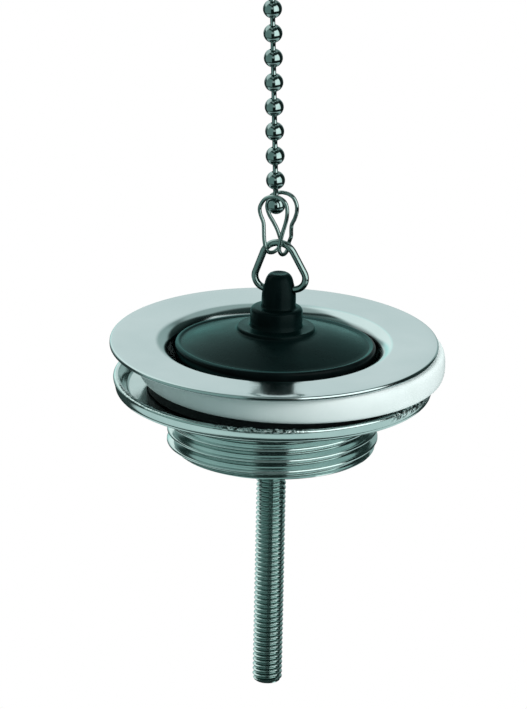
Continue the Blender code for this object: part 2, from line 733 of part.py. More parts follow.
def make_pull(group, plug, steel, chrome):
    """Ring, clasp, chain, end clasp and end ring, hung one on the other."""
    ring_place = knob_hole_place() @ Matrix.Translation((RING_SLIDE, 0, 0))
    ring_data = wire_curve("plug_ring", ring_path(), RING_WIRE_RADIUS, False, steel)
    ring = add("plug_ring", ring_data, group)
    hang(ring, plug, ring_place)

    clasp_data = wire_curve("chain_clasp", clasp_path(), CLASP_WIRE_RADIUS, True, steel)
    crook = ring_place @ Vector((0, 0, hook_height()))
    clasp_place = place(crook.x, crook.y, crook.z, CLASP_LEAN, CLASP_YAW)
    clasp = add("chain_clasp", clasp_data, group)
    hang(clasp, ring, clasp_place)

    caged = clasp_place @ Vector((CLASP_BEAD_SIDE, 0, CLASP_BEAD_HEIGHT))
    foot = place(caged.x, caged.y, caged.z, CHAIN_LEAN, CLASP_YAW)
    last_joint = make_chain(group, chrome, foot, clasp)

    top = foot @ Matrix.Translation((0, 0, (BEAD_COUNT - 1) * BEAD_PITCH))
    end_joint = joint_empty("end_clasp_joint", top, group, last_joint)
    fold = top @ Matrix.Translation((0, 0, CLASP_BEAD_HEIGHT))
    end_clasp = add("end_clasp", clasp_data, group)
    hang(end_clasp, end_joint, fold @ Matrix.Rotation(math.pi, 4, "X"))

    bpy.ops.mesh.primitive_torus_add(
        major_radius=END_RING_RADIUS,
        minor_radius=END_RING_WIRE_RADIUS,
        major_segments=28,
        minor_segments=8,
    )
    end_ring = bpy.context.object
    end_ring.name = end_ring.data.name = "end_ring"
    bpy.context.collection.objects.unlink(end_ring)
    group.objects.link(end_ring)
    upright = Matrix.Rotation(math.pi / 2, 4, "X")
    end_ring.data.transform(Matrix.Translation((0, 0, END_RING_RADIUS)) @ upright)
    end_ring.data.materials.append(steel)
    hang(settle(end_ring), end_clasp, fold)


def main():
    clear_scene()
    group = collection("basin_waste")
    cutters = collection("basin_waste_cutters")
    chrome = material("polished chrome", (0.62, 0.66, 0.66), 0.08, 1.0)
    cast = material("plated cast metal", (0.52, 0.58, 0.57), 0.16, 1.0)
    steel = material("steel wire", (0.34, 0.40, 0.38), 0.22, 1.0)
    zinc = material("zinc plated steel", (0.42, 0.50, 0.48), 0.30, 1.0)
    rubber = material("black rubber", (0.012, 0.018, 0.018), 0.42)
    foam = material("black gasket rubber", (0.006, 0.008, 0.008), 0.80)
    plastic = material("white plastic", (0.80, 0.83, 0.82), 0.38)

    flange = make_flange(group, cutters, chrome)
    screw = make_screw(group, cutters, zinc)
    tail = make_tail(group, cutters, cast)
    for ring in make_washers(group, plastic, foam):
        hang(ring, tail)
    hang(tail, flange)
    hang(screw, flange)
    plug = make_plug(group, cutters, rubber)
    make_pull(group, plug, steel, chrome)


main()
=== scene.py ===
"""Looks of a basin waste with a rubber plug on a bead chain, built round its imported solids.

Shapes are worked out in millimetres in the row frame, whose origin is on the waste's axis in
the plane of the flange's upper face, and scaled to metres when their meshes are made.
"""

import json
import math

import bmesh
import bpy
import numpy as np
from mathutils import Matrix, Vector


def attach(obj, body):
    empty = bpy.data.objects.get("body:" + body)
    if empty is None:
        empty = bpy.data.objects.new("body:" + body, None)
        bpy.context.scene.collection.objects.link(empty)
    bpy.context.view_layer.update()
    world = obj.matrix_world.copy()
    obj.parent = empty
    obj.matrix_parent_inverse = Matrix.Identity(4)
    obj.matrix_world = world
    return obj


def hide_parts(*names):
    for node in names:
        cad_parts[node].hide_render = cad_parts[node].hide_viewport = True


MM = 0.001
TAU = math.tau

# Camera, in the photograph's frame
IMAGE_HEIGHT = 709
SENSOR = 36.0
PIXELS_PER_MM = 5.03
CAMERA_DISTANCE = 5.0
CAMERA_ELEVATION = math.radians(19.6)
CAMERA_ROLL = math.radians(1.2)
ORIGIN_OFFSET = (10.7, 12.5)

# Flange
FLANGE_RADIUS = 32.75
SHEET = 0.9
LIP_ROLL = 3.2
LIP_CENTRE = 24.0
SEAT_TAPER = 19.0
DISH_DEPTH = 12.0
DISH_FILLET = 2.2
STRAINER_HOLES = 6
STRAINER_HOLE_RADIUS = 3.3
STRAINER_CIRCLE = 10.758
SCREW_HOLE_RADIUS = 3.4

# Screw
SCREW_RADIUS = 2.95
SCREW_PITCH = 1.0
SCREW_THREAD_DEPTH = 0.61
SCREW_SEAT = -11.7
SCREW_LENGTH = 60.0
SCREW_END_ROUND = 1.3
HEAD_RADIUS = 5.5
HEAD_HEIGHT = 2.8
SLOT_WIDTH = 1.4
SLOT_DEPTH = 1.3

# Washer and gasket
WASHER_RADIUS = 30.6
WASHER_SHIFT = 3.5
WASHER_TOP = -1.2
WASHER_BOTTOM = -6.6
WASHER_BORE = 25.825
GASKET_RADIUS = 26.8
GASKET_BORE = 23.425
GASKET_SHIFT = 1.6
GASKET_TOP = -6.9
GASKET_BOTTOM = -9.3

# Tail piece
CUP_RIM_RADIUS = 31.9
CUP_RIM_INNER = 30.6
CUP_RIM = -7.3
CUP_FLOOR = -9.6
HUB_BOTTOM = -12.2
THREAD_TOP = -12.6
TAIL_END = -21.836
THREAD_RADIUS = 20.955
THREAD_DEPTH = 1.48
THREAD_PITCH = 2.309
COLLAR_BORE = 17.775
BOSS_RADIUS = 5.5
BOSS_TOP = -14.6
BOSS_FOOT = -20.8
BOSS_BORE = 3.3
SPOKE_WIDTH = 3.2
SPOKE_HEIGHT = 5.0
SPOKE_ANGLES = (20, 140, 260)
BRIDGE_VOXEL = 0.32

# Plug
PLUG_SHIFT = 0.26
PLUG_SINK = 0.47
PLUG_TIP = math.radians(-2.36)
PLUG_TILT = math.radians(0.66)
KNOB_SHIFT = 0.35
KNOB_FOOT = 7.95
KNOB_HOLE_HEIGHT = 11.54
KNOB_HOLE_CLEARANCE = 0.4

# Ring, clasps and chain
RING_WIRE = 0.7
RING_HALF_WIDTH = 5.27
RING_HEIGHT = 9.79
RING_CORNER = 2.54
RING_APEX = 3.44
RING_FOOT_GAP = 0.4
RING_YAW = math.radians(-17)
RING_LEAN = math.radians(-5.1)
CLASP_WIRE = 0.4
CLASP_HALF_WIDTH = 3.2
CLASP_HEIGHT = 10.5
CLASP_SPREAD = 1.45
CLASP_HOOK_CLEARANCE = 0.75
CLASP_HOOK_SPLAY = 0.25
CLASP_BEAD_HEIGHT = 8.3
# The clasp's two loops from left foot to right, as shares of its half width and its height
CLASP_FRONT = (
    (-0.52, 0), (-0.6, 0.13), (-0.63, 0.31), (-0.67, 0.46), (-0.88, 0.61),
    (-0.93, 0.74), (-0.68, 0.885), (-0.33, 0.965), (0.22, 1), (0.7, 0.965),
    (0.95, 0.885), (1.04, 0.76), (1, 0.61), (0.89, 0.48), (0.71, 0.31),
    (0.57, 0.14), (0.48, 0),
)
CLASP_BACK = (
    (-0.18, 0), (-0.27, 0.12), (-0.41, 0.24), (-0.62, 0.36), (-0.91, 0.51),
    (-1.02, 0.66), (-0.88, 0.8), (-0.55, 0.925), (-0.05, 0.99), (0.35, 1),
    (0.68, 0.98), (0.95, 0.925), (1.13, 0.8), (1.12, 0.66), (0.95, 0.51),
    (0.7, 0.37), (0.63, 0.25), (0.59, 0.12), (0.42, 0),
)
CLASP_YAW = math.radians(-30)
CLASP_LEAN = math.radians(-2.5)
CHAIN_LEAN = math.radians(-2.1)
BEADS = 11
BEAD_RADIUS = 1.9
BEAD_WALL = 0.25
BEAD_HOLE = 0.66
BEAD_PITCH = 5.13
ROD_RADIUS = 0.52
ROD_HEAD_RADIUS = 0.73
ROD_HEAD_SETBACK = 0.76
END_RING_RADIUS = 6.5
END_RING_WIRE = 0.7

# Finishes: the heights and radii, in metres, between which a pattern comes or goes
# Where painted shade darkens the flange's seat below the lip
SEAT_SHADE_TOP = (-0.0016, -0.0008)
CRUST_ON_EDGE = (-0.0079, -0.0075)
CRUST_ON_SIDE = (-0.0092, -0.0086)
# Where painted shade in the screw thread's roots gives way to the crests
SCREW_ROOT_SHADE = (0.0024, 0.0029)
# Where the painted highlight on the plug's rim bead lies
PLUG_RIM_HIGHLIGHT_INSIDE = (0.0188, 0.0191)
PLUG_RIM_HIGHLIGHT_OUTSIDE = (0.0198, 0.0196)
PLUG_RIM_HIGHLIGHT_TOP = (-0.0022, -0.0016)
# Where the plug's painted teal sheen ends, so the skirt stays black
PLUG_TINTED_SHEEN_END = (0.01985, 0.0196)

# The crust's three stretches: their angles about Z in degrees, and how far on each side
# they are full and gone, in radians
CRUST_FRONT = -94
CRUST_RIGHT = -25
CRUST_LEFT = -147
CRUST_REACH = (0.20, 0.34)
CRUST_LEFT_REACH = (0.18, 0.34)

# Studio: the linear levels that metal reflects in each direction. x is to the right, y away
# from the camera and z up. bearing is in degrees from the camera towards +X. leaning is x
# less LEAN for each unit of z above LEAN_START.
LEAN = 0.55
LEAN_START = 0.35
DIM = (0.03, 0.05, 0.047)
DARK = (0.010, 0.018, 0.017)
GREY = (0.29, 0.43, 0.41)
# Levels round the horizon at their bearings
HORIZON = (
    (-180, DIM),
    (-112, DIM),
    (-98, GREY),
    (-23, GREY),
    (-15, DARK),
    (100, DARK),
    (130, DIM),
    (180, DIM),
)
WALLS = (("z", -0.72, -0.60), ("z", 0.80, 0.66))
# Each panel's level and its edges, each of which fades in from its first value to its second.
# A later panel covers the ones before it.
PANELS = {
    "softbox": (
        (1.95, 2.08, 2.05),
        (("bearing", 16, 21), ("bearing", 88, 78), ("z", -0.33, -0.22), ("z", 0.74, 0.66)),
    ),
    "ahead": (
        (0.54, 0.63, 0.62),
        (
            ("z", 0.18, 0.26),
            ("z", 0.60, 0.52),
            ("x", -0.36, -0.26),
            ("x", 0.34, 0.24),
            ("y", 0.0, -0.3),
        ),
    ),
    "side": (
        (0.38, 0.50, 0.49),
        (("y", 0.5, 0.75), ("x", 0.60, 0.48), ("z", -0.28, -0.10), ("z", 0.72, 0.42)),
    ),
    "back": (
        (0.84, 0.93, 0.93),
        (
            ("y", -0.1, 0.6),
            ("leaning", 0.22, 0.02),
            ("x", -0.5, -0.3),
            ("z", -0.25, 0.3),
            ("z", 1.15, 0.55),
        ),
    ),
    "above": (
        (0.42, 0.5, 0.49),
        (("x", 0.05, -0.1), ("x", -0.6, -0.4), ("z", 0.84, 0.93)),
    ),
    "lid": (
        (0.42, 0.52, 0.51),
        (("x", 0.02, 0.10), ("x", 0.62, 0.50), ("z", 0.55, 0.70), ("y", 0.05, 0.30)),
    ),
    "left": (
        (1.1, 1.2, 1.18),
        (("x", -0.02, -0.2), ("y", -0.05, 0.2), ("z", 0.15, 0.3), ("z", 0.97, 0.85)),
    ),
}
# The back panel's left part
BACK_TEAL = (0.70, 1.12, 1.08)
BACK_TEAL_EDGES = (("x", -0.04, -0.14),)
# The level that lights rough surfaces
PLAIN_LEVEL = (0.58, 0.92, 0.90)
PLAIN_STRENGTH = 0.36

# Floor and table, in millimetres
FLOOR_RADIUS = 230.0
FLOOR_HEIGHT = -300.0
FLOOR_STEPS = 96
TABLE_RADII = (0.0, 40.0, 90.0, 180.0)
TABLE_HEIGHT = -78.0

# Their glow, in metres. The table's is a ring, squeezed along X about GLOW_SHIFT, whose
# inner edge is notched in front.
FLOOR_FADE = (0.05, 0.22)
GLOW_INSIDE = (0.052, 0.066)
GLOW_OUTSIDE = (0.106, 0.090)
GLOW_SHIFT = 0.02
GLOW_SQUEEZE = 0.60
NOTCH_DEPTH = 0.014
NOTCH_SIDE = (0.012, 0.030)
NOTCH_END = (0, 0.01)

# Each lamp's name, place and size in metres, and power in watts
LAMPS = (
    ("key", (1.0, -0.55, 0.45), (0.6, 0.7), 14),
    ("fill", (-0.9, -0.7, 0.3), (0.6, 0.7), 1),
    ("top", (0.0, 0.5, 1.1), (0.8, 0.5), 5),
)


# Mesh helpers


def arc(centre, radius, start, end, steps):
    """Points on a circle in the (radius, height) plane, angles in degrees from +X."""
    angles = np.radians(np.linspace(start, end, steps + 1))
    return [(centre[0] + radius * math.cos(a), centre[1] + radius * math.sin(a)) for a in angles]


def between(start, end):
    """Three points inside a straight run, without its ends."""
    run = [end[i] - start[i] for i in range(2)]
    return [(start[0] + run[0] * t, start[1] + run[1] * t) for t in (0.25, 0.5, 0.75)]


def smooth_through(points, samples):
    """A Catmull-Rom curve through points, whose first and last only steer its ends."""
    path = []
    for before, start, end, after in zip(points, points[1:], points[2:], points[3:]):
        for i in range(samples):
            t = i / samples
            path.append(
                0.5
                * (
                    2 * start
                    + (end - before) * t
                    + (2 * before - 5 * start + 4 * end - after) * t**2
                    + (3 * start - before - 3 * end + after) * t**3
                )
            )
    path.append(points[-2])
    return path


def rounded(corners, radius, closed=True):
    """An outline whose corners are rounded; radius is one size or one for each corner."""
    steps = 3
    count = len(corners)
    sizes = [radius] * count if isinstance(radius, (int, float)) else radius
    points = [Vector(c) for c in corners]
    made = []
    for i, corner in enumerate(points):
        if not closed and i in (0, count - 1) or sizes[i] == 0:
            made.append(corner)
            continue
        before = (points[i - 1] - corner).normalized()
        after = (points[(i + 1) % count] - corner).normalized()
        half = before.angle(after) / 2
        reach = sizes[i] / math.tan(half)
        centre = corner + (before + after).normalized() * sizes[i] / math.sin(half)
        start = corner + before * reach - centre
        end = corner + after * reach - centre
        turn = start.angle(end)
        for k in range(steps + 1):
            t = k / steps
            made.append(
                centre
                + (start * math.sin((1 - t) * turn) + end * math.sin(t * turn)) / math.sin(turn)
            )
    return [tuple(p) for p in made]


def mesh_object(name, points, faces, matrix=None, sharp=40):
    """A smooth shaded mesh from points in millimetres, with coincident points made one."""
    mesh = bpy.data.meshes.new(name)
    mesh.from_pydata((np.asarray(points, float) * MM).tolist(), [], faces)
    shape = bmesh.new()
    shape.from_mesh(mesh)
    bmesh.ops.remove_doubles(shape, verts=shape.verts, dist=1e-7)
    bmesh.ops.dissolve_degenerate(shape, edges=shape.edges, dist=1e-7)
    if matrix is not None:
        bmesh.ops.transform(shape, matrix=matrix, verts=shape.verts)
    shape.to_mesh(mesh)
    shape.free()
    mesh.shade_smooth()
    mesh.set_sharp_from_angle(angle=math.radians(sharp))
    obj = bpy.data.objects.new(name, mesh)
    bpy.context.scene.collection.objects.link(obj)
    return obj


def turned(name, outline, columns, closed=True, matrix=None, centre=(0, 0), shape=None):
    """An outline, down its outer side, turned about Z. shape may move the grid of points."""
    rows = np.array(outline, float)
    angles = np.arange(columns) / columns * TAU
    grid = np.empty((columns, len(rows), 3))
    grid[:, :, 0] = np.cos(angles)[:, None] * rows[:, 0]
    grid[:, :, 1] = np.sin(angles)[:, None] * rows[:, 0]
    grid[:, :, 2] = rows[:, 1]
    if shape is not None:
        grid = shape(grid, angles)
    grid[:, :, 0] += centre[0]
    grid[:, :, 1] += centre[1]
    count = len(rows)
    last = count if closed else count - 1
    faces = []
    for c in range(columns):
        here, there = c * count, (c + 1) % columns * count
        for r in range(last):
            below = (r + 1) % count
            faces.append((here + r, here + below, there + below, there + r))
    return mesh_object(name, grid.reshape(-1, 3), faces, matrix)


def threaded(name, above, thread, below, columns, sharp, shape=None):
    """A closed outline turned about Z, one stretch of whose outer side is a right-hand thread.

    above runs down to the thread's top and below from its foot back to the start. thread
    holds the top, the foot, the pitch, the points in a turn and a function that gives the
    radius at a share of the pitch and a height.
    """
    top, foot, pitch, per_turn, radius_at = thread
    turns = math.ceil((top - foot) / pitch) + 1
    down = np.arange(turns * per_turn + 1) / per_turn * pitch
    cut = len(down)
    grid = np.empty((columns, len(above) + cut + len(below), 3))
    for c in range(columns):
        angle = TAU * c / columns
        rise = pitch * c / columns
        heights = np.clip(top + rise - down, foot, top)
        share = ((top + rise - heights) / pitch) % 1.0
        radii = radius_at(share, heights)
        middle = np.column_stack([radii, heights])
        parts = [np.array(p, float).reshape(-1, 2) for p in (above, middle, below)]
        rows = np.concatenate(parts)
        grid[c, :, 0] = math.cos(angle) * rows[:, 0]
        grid[c, :, 1] = math.sin(angle) * rows[:, 0]
        grid[c, :, 2] = rows[:, 1]
    if shape is not None:
        grid = shape(grid, np.arange(columns) / columns * TAU)
    count = grid.shape[1]
    start, end = len(above), len(above) + cut
    closed = above[0][0] > 0
    last = count if closed else count - 1
    faces = []
    for c in range(columns):
        here, there = c * count, (c + 1) % columns * count
        for r in range(last):
            under = (r + 1) % count
            across, across_under = r, under
            # The last column meets the first one a turn further up the thread
            if c == columns - 1:
                if start <= r < end - 1:
                    across = max(start, r - per_turn)
                if start <= under < end:
                    across_under = max(start, under - per_turn)
            faces.append((here + r, here + under, there + across_under, there + across))
    return mesh_object(name, grid.reshape(-1, 3), faces, None, sharp)


def tube(name, path, radius, closed, sides, matrix):
    """A round wire along a path, with flat ends where the path isn't closed."""
    path = [Vector(p) for p in path]
    count = len(path)
    tangents = []
    for i in range(count):
        ahead = path[(i + 1) % count] if closed or i < count - 1 else path[i]
        behind = path[i - 1] if closed or i > 0 else path[i]
        tangents.append((ahead - behind).normalized())
    normal = tangents[0].orthogonal().normalized()
    normals = [normal]
    for i in range(1, count):
        turn = tangents[i - 1].rotation_difference(tangents[i])
        normal = (turn @ normal).normalized()
        normals.append(normal)
    twist = 0.0
    if closed:
        turn = tangents[-1].rotation_difference(tangents[0])
        back = (turn @ normals[-1]).normalized()
        twist = math.atan2(tangents[0].dot(back.cross(normals[0])), back.dot(normals[0]))
    points, faces = [], []
    for i in range(count):
        side = tangents[i].cross(normals[i])
        share = twist * i / count
        for k in range(sides):
            a = TAU * k / sides + share
            points.append(path[i] + (normals[i] * math.cos(a) + side * math.sin(a)) * radius)
    rings = count if closed else count - 1
    for i in range(rings):
        here, there = i * sides, (i + 1) % count * sides
        for k in range(sides):
            n = (k + 1) % sides
            faces.append((here + k, here + n, there + n, there + k))
    if not closed:
        faces.append(tuple(reversed(range(sides))))
        faces.append(tuple((count - 1) * sides + k for k in range(sides)))
    return mesh_object(name, [tuple(p) for p in points], faces, matrix)


def apply_modifiers(obj, sharp):
    """Makes an object's modifiers part of its mesh, and removes them."""
    view = bpy.context.evaluated_depsgraph_get()
    mesh = bpy.data.meshes.new_from_object(obj.evaluated_get(view))
    obj.modifiers.clear()
    obj.data = mesh
    mesh.name = obj.name
    mesh.shade_smooth()
    mesh.set_sharp_from_angle(angle=math.radians(sharp))


def cut(obj, cutters, sharp=40):
    """Cuts several shapes out of an object, and removes them."""
    for cutter in cutters:
        step = obj.modifiers.new(cutter.name, "BOOLEAN")
        step.operation = "DIFFERENCE"
        step.object = cutter
        step.solver = "EXACT"
    apply_modifiers(obj, sharp)
    for cutter in cutters:
        bpy.data.objects.remove(cutter)


def bore(name, radius, low, high, columns=48, matrix=None):
    """A plain cylinder about Z that cuts a hole."""
    side = [(0, high), (radius, high), (radius, low), (0, low)]
    return turned(name, side, columns, False, matrix)


def place(point, lean, yaw):
    """A place in the row frame, in metres, turned by yaw about Z, then leant about Y."""
    turn = Matrix.Rotation(lean, 4, "Y") @ Matrix.Rotation(yaw, 4, "Z")
    return Matrix.Translation(point) @ turn


# Materials


class Nodes:
    """A node tree to which nodes are added one by one.

    A value that a node is given is a number, a colour or the output of another node.
    """

    def __init__(self, tree):
        self.tree = tree

    def link(self, value, slot):
        if isinstance(value, (int, float)):
            slot.default_value = value
        elif isinstance(value, tuple):
            slot.default_value = (*value, 1.0)
        else:
            self.tree.links.new(value, slot)

    def give(self, node, **values):
        """Gives values to a node's inputs by their names."""
        for name, value in values.items():
            self.link(value, node.inputs[name.replace("_", " ")])

    def node(self, kind, values=(), **settings):
        """A new node whose first inputs are given values."""
        made = self.tree.nodes.new(kind)
        for name, setting in settings.items():
            setattr(made, name, setting)
        for slot, value in zip(made.inputs, values):
            self.link(value, slot)
        return made

    def math(self, operation, *values, clamp=False):
        return self.node("ShaderNodeMath", values, operation=operation, use_clamp=clamp).outputs[0]

    def plus(self, first, second, clamp=False):
        return self.math("ADD", first, second, clamp=clamp)

    def times(self, first, second):
        return self.math("MULTIPLY", first, second)

    def span(self, value, low, high, to_low=0, to_high=1, smooth=False):
        """value between low and high, mapped to between to_low and to_high."""
        made = self.node("ShaderNodeMapRange")
        made.interpolation_type = "SMOOTHSTEP" if smooth else "LINEAR"
        self.give(made, Value=value, From_Min=low, From_Max=high, To_Min=to_low, To_Max=to_high)
        return made.outputs["Result"]

    def fade(self, value, none, full, most=1):
        """A share that rises smoothly from none to full, up to most of 1."""
        return self.span(value, none, full, 0, most, True)

    def mix(self, share, first, second):
        """A colour between two."""
        made = self.node("ShaderNodeMix", (share,), data_type="RGBA")
        slots = [s for s in made.inputs if s.type == "RGBA"]
        self.link(first, slots[0])
        self.link(second, slots[1])
        return next(s for s in made.outputs if s.type == "RGBA")


class Finish(Nodes):
    """A Principled material, whose patterns are worked out from the piece's own coordinates."""

    def __init__(self, name, **values):
        self.material = bpy.data.materials.new(name)
        self.material.use_nodes = True
        super().__init__(self.material.node_tree)
        self.shader = self.tree.nodes["Principled BSDF"]
        self.give(self.shader, **values)
        self.where = self.node("ShaderNodeTexCoord").outputs["Object"]

    def split(self):
        return self.node("ShaderNodeSeparateXYZ", (self.where,)).outputs

    def vector(self, x, y, z):
        return self.node("ShaderNodeCombineXYZ", (x, y, z)).outputs[0]

    def distance(self, x, y):
        return self.math("SQRT", self.plus(self.times(x, x), self.times(y, y)))

    def polar(self, centre_x=0.0):
        """Radius and angle about the vertical axis at centre_x, and height."""
        x, y, z = self.split()
        if centre_x:
            x = self.math("SUBTRACT", x, centre_x)
        return self.distance(x, y), self.math("ARCTAN2", y, x), z

    def noise(self, scale, detail=3.0, roughness=0.55, vector=None):
        made = self.node("ShaderNodeTexNoise")
        where = vector or self.where
        self.give(made, Vector=where, Scale=scale, Detail=detail, Roughness=roughness)
        return made.outputs["Fac"]

    def drift(self, noise, dark, light, low=0.35, high=0.7):
        """A colour that wanders between two with a noise."""
        return self.mix(self.span(noise, low, high), dark, light)

    def bump(self, height, distance):
        """Adds a height in metres to the surface's bumps."""
        made = self.node("ShaderNodeBump")
        self.give(made, Distance=distance, Height=height)
        target = self.shader.inputs["Normal"]
        if target.is_linked:
            self.link(target.links[0].from_socket, made.inputs["Normal"])
        self.link(made.outputs["Normal"], target)

    def colour(self, output):
        self.give(self.shader, Base_Color=output)

    def roughness(self, output):
        self.give(self.shader, Roughness=output)

    def surface(self, output):
        """Shows another shader than the Principled one."""
        ends = next(n for n in self.tree.nodes if n.type == "OUTPUT_MATERIAL")
        self.link(output, ends.inputs["Surface"])


def polished_chrome():
    """Pressed plate: faint rings from the polishing wheel, light smears, and painted shade in the
    seat.
    """
    f = Finish("polished chrome", Metallic=1.0)
    radius, angle, height = f.polar()
    plate = f.drift(f.noise(60, 2), (0.50, 0.59, 0.59), (0.56, 0.64, 0.64))
    # Painted shade: the seat below the lip is darkened almost to black
    seat_shade = f.span(height, *SEAT_SHADE_TOP, 0.85, 0, True)
    f.colour(f.mix(seat_shade, plate, (0.08, 0.10, 0.10)))
    wheel = f.vector(f.times(radius, 2600), f.times(angle, 1.5), 0.0)
    rings = f.noise(1, 3, 0.6, wheel)
    smear = f.noise(110, 4, 0.6)
    f.roughness(f.plus(f.span(rings, 0.3, 0.7, 0.0, 0.035), f.span(smear, 0.4, 0.75, 0.095, 0.15)))
    f.bump(rings, 0.000002)
    return f.material


def cast_chrome():
    """Plated casting: bright, a little uneven, with a rough pitted crust on the cup's rim, speckled
    with painted reflections.
    """
    f = Finish("cast chrome", Metallic=1.0)
    _, angle, height = f.polar()
    grain = f.noise(900, 3, 0.6)
    cloud = f.noise(140, 3)
    pits = f.noise(1500, 2, 0.5)

    def stretch(degrees, reach, most):
        away = f.math("ABSOLUTE", f.plus(angle, -math.radians(degrees)))
        return f.span(away, *reach, most, 0, True)

    front = stretch(CRUST_FRONT, CRUST_REACH, 1)
    right = stretch(CRUST_RIGHT, CRUST_REACH, 1)
    left = stretch(CRUST_LEFT, CRUST_LEFT_REACH, 0.3)
    edge = f.times(f.fade(height, *CRUST_ON_EDGE), f.plus(front, left, clamp=True))
    side = f.times(f.fade(height, *CRUST_ON_SIDE), right)
    crust = f.plus(edge, side, clamp=True)
    # Painted reflections: the crust's black and white specks are painted into its colour; its
    # roughness and bumps are real
    painted_dark_specks = f.times(crust, f.fade(pits, 0.50, 0.54))
    painted_glints = f.times(crust, f.fade(pits, 0.44, 0.40))
    clean = f.drift(cloud, (0.47, 0.58, 0.565), (0.56, 0.67, 0.65), 0.3)
    f.colour(f.mix(painted_dark_specks, f.mix(painted_glints, clean, (0.93, 0.97, 0.96)), (0.03, 0.045, 0.042)))
    rough = f.times(crust, f.span(grain, 0.3, 0.7, 0.05, 0.35))
    f.roughness(f.plus(f.span(cloud, 0.3, 0.75, 0.10, 0.17), rough))
    f.bump(cloud, 0.00003)
    f.bump(f.times(crust, pits), 0.00022)
    return f.material


def bead_chrome():
    """Small bright pressings with a fine tarnish."""
    f = Finish("bead chrome", Metallic=1.0)
    cloud = f.noise(700, 3)
    f.colour(f.drift(cloud, (0.24, 0.325, 0.312), (0.34, 0.425, 0.41)))
    f.roughness(f.span(f.noise(1500, 3), 0.3, 0.7, 0.06, 0.13))
    f.bump(cloud, 0.00001)
    return f.material


def steel_wire():
    """Drawn wire: greyer than the plate, with fine marks from the die."""
    f = Finish("steel wire", Metallic=1.0)
    f.colour(f.drift(f.noise(500, 3), (0.22, 0.30, 0.28), (0.33, 0.42, 0.40)))
    f.roughness(f.span(f.noise(1300, 4), 0.3, 0.7, 0.14, 0.26))
    f.bump(f.noise(2500, 2), 0.00001)
    return f.material


def zinc_steel():
    """Zinc plate on a rolled thread, with painted shade darkening the roots."""
    f = Finish("zinc plated steel", Metallic=1.0)
    radius, _, _ = f.polar()
    crest = f.fade(radius, *SCREW_ROOT_SHADE)
    plate = f.drift(f.noise(300, 3), (0.50, 0.62, 0.60), (0.58, 0.69, 0.67))
    # Painted shade: the thread's roots take a darker colour than its crests
    f.colour(f.mix(crest, (0.24, 0.35, 0.33), plate))
    f.roughness(f.span(f.noise(1100, 4), 0.3, 0.7, 0.10, 0.19))
    f.bump(f.noise(2600, 2), 0.000004)
    return f.material


def plug_rubber():
    """Smooth black moulding with flow marks and a soft bloom; its rim's paler band is a painted
    highlight and its teal sheen a painted tint.
    """
    f = Finish(
        "black rubber",
        IOR=1.5,
        Specular_IOR_Level=0.045,
        Coat_IOR=1.05,
        Coat_Roughness=0.3,
        # The coat's teal tint is a painted sheen colour on the crown's reflections
        Coat_Tint=(0.72, 1.0, 0.98),
    )
    radius, angle, height = f.polar()
    stream = f.vector(f.times(radius, 260), f.times(angle, 3.0), f.times(height, 120))
    flow = f.noise(1, 4, 0.6, stream)
    bloom = f.noise(190, 4, 0.6)
    black = f.drift(bloom, (0.0016, 0.0034, 0.0036), (0.0036, 0.0070, 0.0070), 0.35, 0.75)
    # Painted highlight: a paler band painted on the rim's rounded bead
    rim = f.times(f.fade(radius, *PLUG_RIM_HIGHLIGHT_INSIDE), f.fade(radius, *PLUG_RIM_HIGHLIGHT_OUTSIDE))
    rim = f.times(rim, f.fade(height, *PLUG_RIM_HIGHLIGHT_TOP, 0.8))
    f.colour(f.mix(rim, black, (0.042, 0.060, 0.061)))
    # The teal-tinted coat, a painted sheen, covers the crown and knob but not the skirt
    f.give(f.shader, Coat_Weight=f.fade(radius, *PLUG_TINTED_SHEEN_END))
    f.roughness(f.plus(f.span(flow, 0.3, 0.7, 0.0, 0.08), f.span(bloom, 0.35, 0.7, 0.22, 0.30)))
    f.bump(flow, 0.00003)
    f.bump(f.noise(1800, 3), 0.000012)
    return f.material


def gasket_rubber():
    """Matt black rubber sheet with a cut, grainy edge."""
    f = Finish("gasket rubber", IOR=1.5, Specular_IOR_Level=0.3)
    grain = f.noise(1500, 4, 0.65)
    f.colour(f.drift(grain, (0.004, 0.006, 0.006), (0.012, 0.016, 0.016)))
    f.roughness(f.span(grain, 0.3, 0.7, 0.62, 0.85))
    f.bump(grain, 0.00006)
    return f.material


def white_plastic():
    """Satin moulded plastic with fine upright scratches and a faint grey handling film."""
    f = Finish("white plastic", IOR=1.47)
    _, angle, height = f.polar(WASHER_SHIFT * MM)
    upright = f.vector(f.times(angle, 160), f.times(height, 260), 0.0)
    scratches = f.noise(1, 3, 0.7, upright)
    film = f.noise(120, 4, 0.6)
    mark = f.fade(scratches, 0.64, 0.74, 0.35)
    clean = f.drift(film, (0.77, 0.80, 0.79), (0.82, 0.84, 0.84))
    f.colour(f.mix(mark, clean, (0.50, 0.57, 0.55)))
    f.roughness(f.plus(f.span(film, 0.3, 0.7, 0.26, 0.36), f.times(mark, 0.4)))
    f.bump(scratches, 0.000018)
    f.bump(film, 0.00002)
    return f.material


# Pieces


def dress(obj, finish, body, slot, *nodes):
    """Gives a piece its finish, its body and the nodes that it replaces; slot is not used."""
    obj.data.materials.clear()
    obj.data.materials.append(finish)
    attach(obj, body)
    if nodes:
        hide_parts(*nodes)


